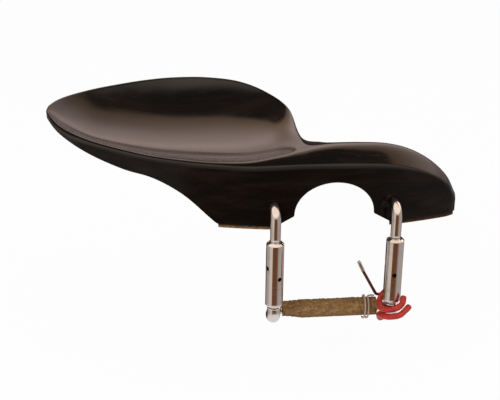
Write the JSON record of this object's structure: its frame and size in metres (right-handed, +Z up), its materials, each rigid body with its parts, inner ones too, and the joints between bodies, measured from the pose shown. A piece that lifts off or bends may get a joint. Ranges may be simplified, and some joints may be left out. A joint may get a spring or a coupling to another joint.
{
  "type": "violin chinrest",
  "caption": "Carved chin cup and bridge plate that stands over a violin's tailpiece, gripped to the instrument's edge by a turnbuckle clamp.",
  "frame": {"origin": "midway between the two clamp posts, on the carved body's front face, at the underside of the foot corks, where the top of the instrument's edge lies", "axes": "+Z up out of the instrument's top, +Y from the tail end towards the scroll, +X towards the wing, so the cup is at -X"},
  "size_m": [0.1255, 0.0809, 0.0597],
  "materials": {
    "ebony": "oiled and polished ebony",
    "cork": "sheet cork",
    "bar_cork": "sheet cork, darkened by handling",
    "nickel": "nickel plate over steel, polished",
    "steel": "drawn wire",
    "pale_thread": "pale cotton thread",
    "red_tie": "soft red covering"
  },
  "bodies": {
    "chinrest": {"chinrest_body": "ebony", "left_foot_cork": "cork", "right_foot_cork": "cork", "left_upper_post": "nickel", "right_upper_post": "nickel"},
    "left_turnbuckle": {"left_barrel": "nickel"},
    "right_turnbuckle": {"right_barrel": "nickel"},
    "bracket": {"lower_bracket": "nickel", "bar_cork": "bar_cork", "clamp_key": "steel", "key_thread": "pale_thread", "bracket_tie": "red_tie"}
  },
  "joints": [
    {"name": "bracket_slide", "type": "slide", "parent": "chinrest", "child": "bracket", "axis": [0, 0, 1], "range_m": [-0.014, 0]},
    {"name": "left_barrel_turn", "type": "hinge", "parent": "chinrest", "child": "left_turnbuckle", "pos_m": [-0.01825, -0.0032, -0.012], "axis": [0, 0, 1], "continuous": true},
    {"name": "right_barrel_turn", "type": "hinge", "parent": "chinrest", "child": "right_turnbuckle", "pos_m": [0.01825, -0.0032, -0.012], "axis": [0, 0, 1], "continuous": true}
  ],
  "couplings": [
    {"joint": "left_barrel_turn", "follows": "bracket_slide", "rad_per_m": 6283.2},
    {"joint": "right_barrel_turn", "follows": "bracket_slide", "rad_per_m": 6283.2}
  ]
}
